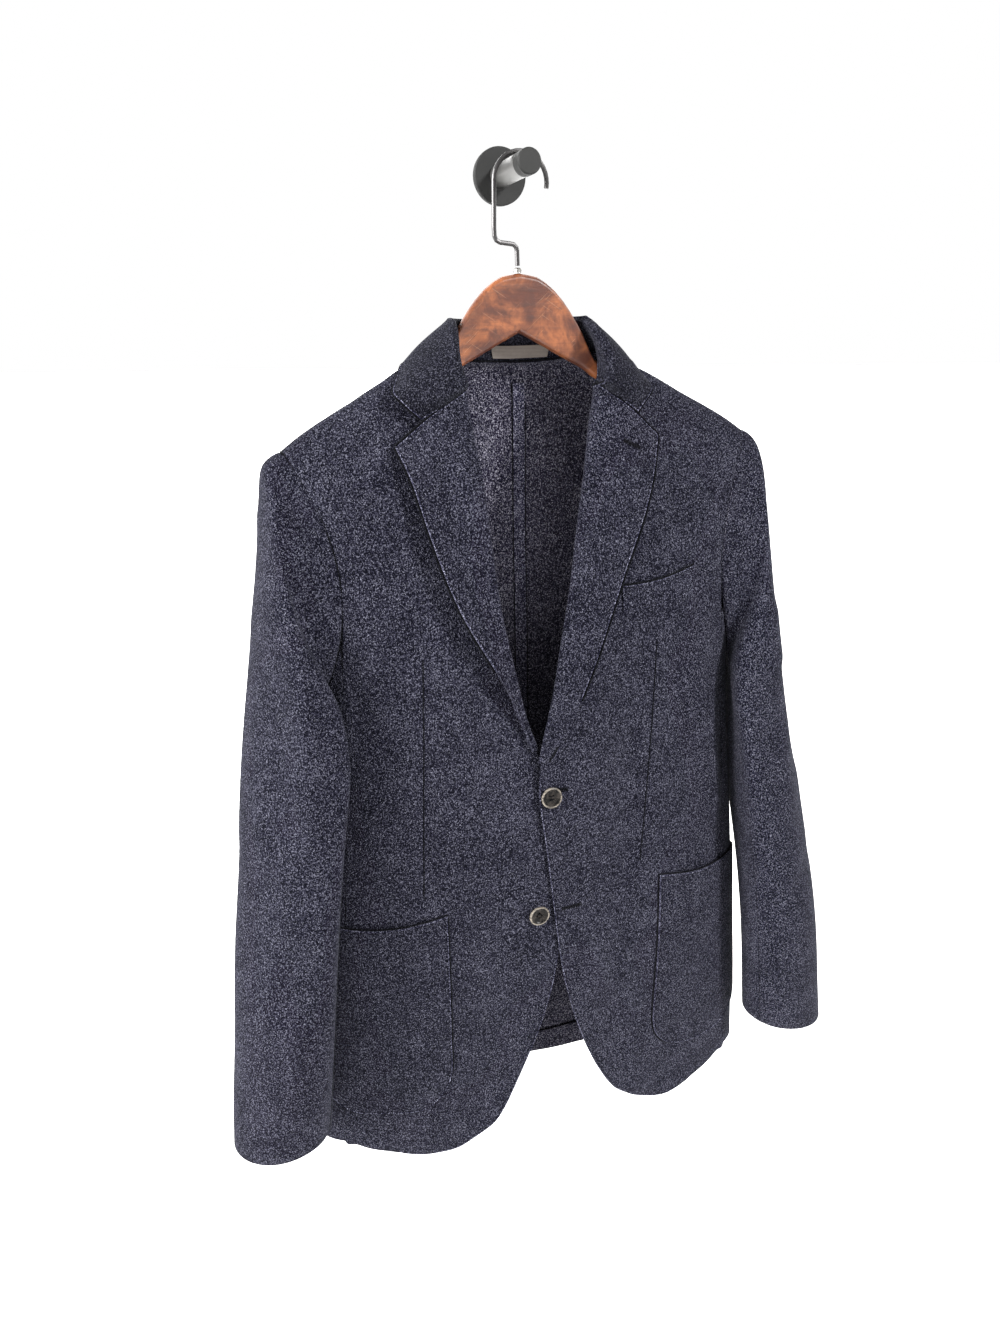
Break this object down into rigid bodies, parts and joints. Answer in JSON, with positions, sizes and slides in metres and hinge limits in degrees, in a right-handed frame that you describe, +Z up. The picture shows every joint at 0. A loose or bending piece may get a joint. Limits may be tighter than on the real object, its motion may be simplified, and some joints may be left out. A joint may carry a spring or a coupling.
{
  "type": "single breasted blazer on a hanger and wall hook",
  "caption": "Tailored jacket with notched lapels, patch pockets and a buttoned front, hanging from a wooden hanger on a round peg that screws to a wall.",
  "frame": {"origin": "centre of the round wall plate's back face, where the peg is fixed to the wall", "axes": "+Y goes into the wall, +Z is up, +X is to the viewer's right, and the front of the garment faces -Y"},
  "size_m": [0.6414, 0.1677, 0.9439],
  "materials": {
    "cloth": "soft dark navy wool with pale grey flecks, matt",
    "binding": "dark navy ribbon over the inside seam, matt",
    "tape": "taupe ribbon with a soft sheen",
    "horn": "polished horn, pale rim and smoky middle",
    "wood": "reddish brown, mottled, satin varnish",
    "wire": "dark metal wire, satin",
    "nickel": "small bright ferrule",
    "gunmetal": "matt black coating"
  },
  "bodies": {
    "root": {"front_left": "cloth", "front_right": "cloth", "side_left": "cloth", "side_right": "cloth", "back_left": "cloth", "back_right": "cloth", "lapel_left": "cloth", "lapel_right": "cloth", "collar": "cloth", "sleeve_top_left": "cloth", "sleeve_under_left": "cloth", "sleeve_top_right": "cloth", "sleeve_under_right": "cloth", "pocket_left": "cloth", "pocket_right": "cloth", "breast_welt": "cloth", "neck_tape": "tape", "back_seam_tape": "binding", "back_hem_band": "cloth", "button_top": "horn", "button_low": "horn", "hanger_wood": "wood", "hanger_hook": "wire", "hanger_ferrule": "nickel", "wall_plate": "gunmetal", "peg": "gunmetal", "peg_cap": "gunmetal"}
  },
  "joints": []
}
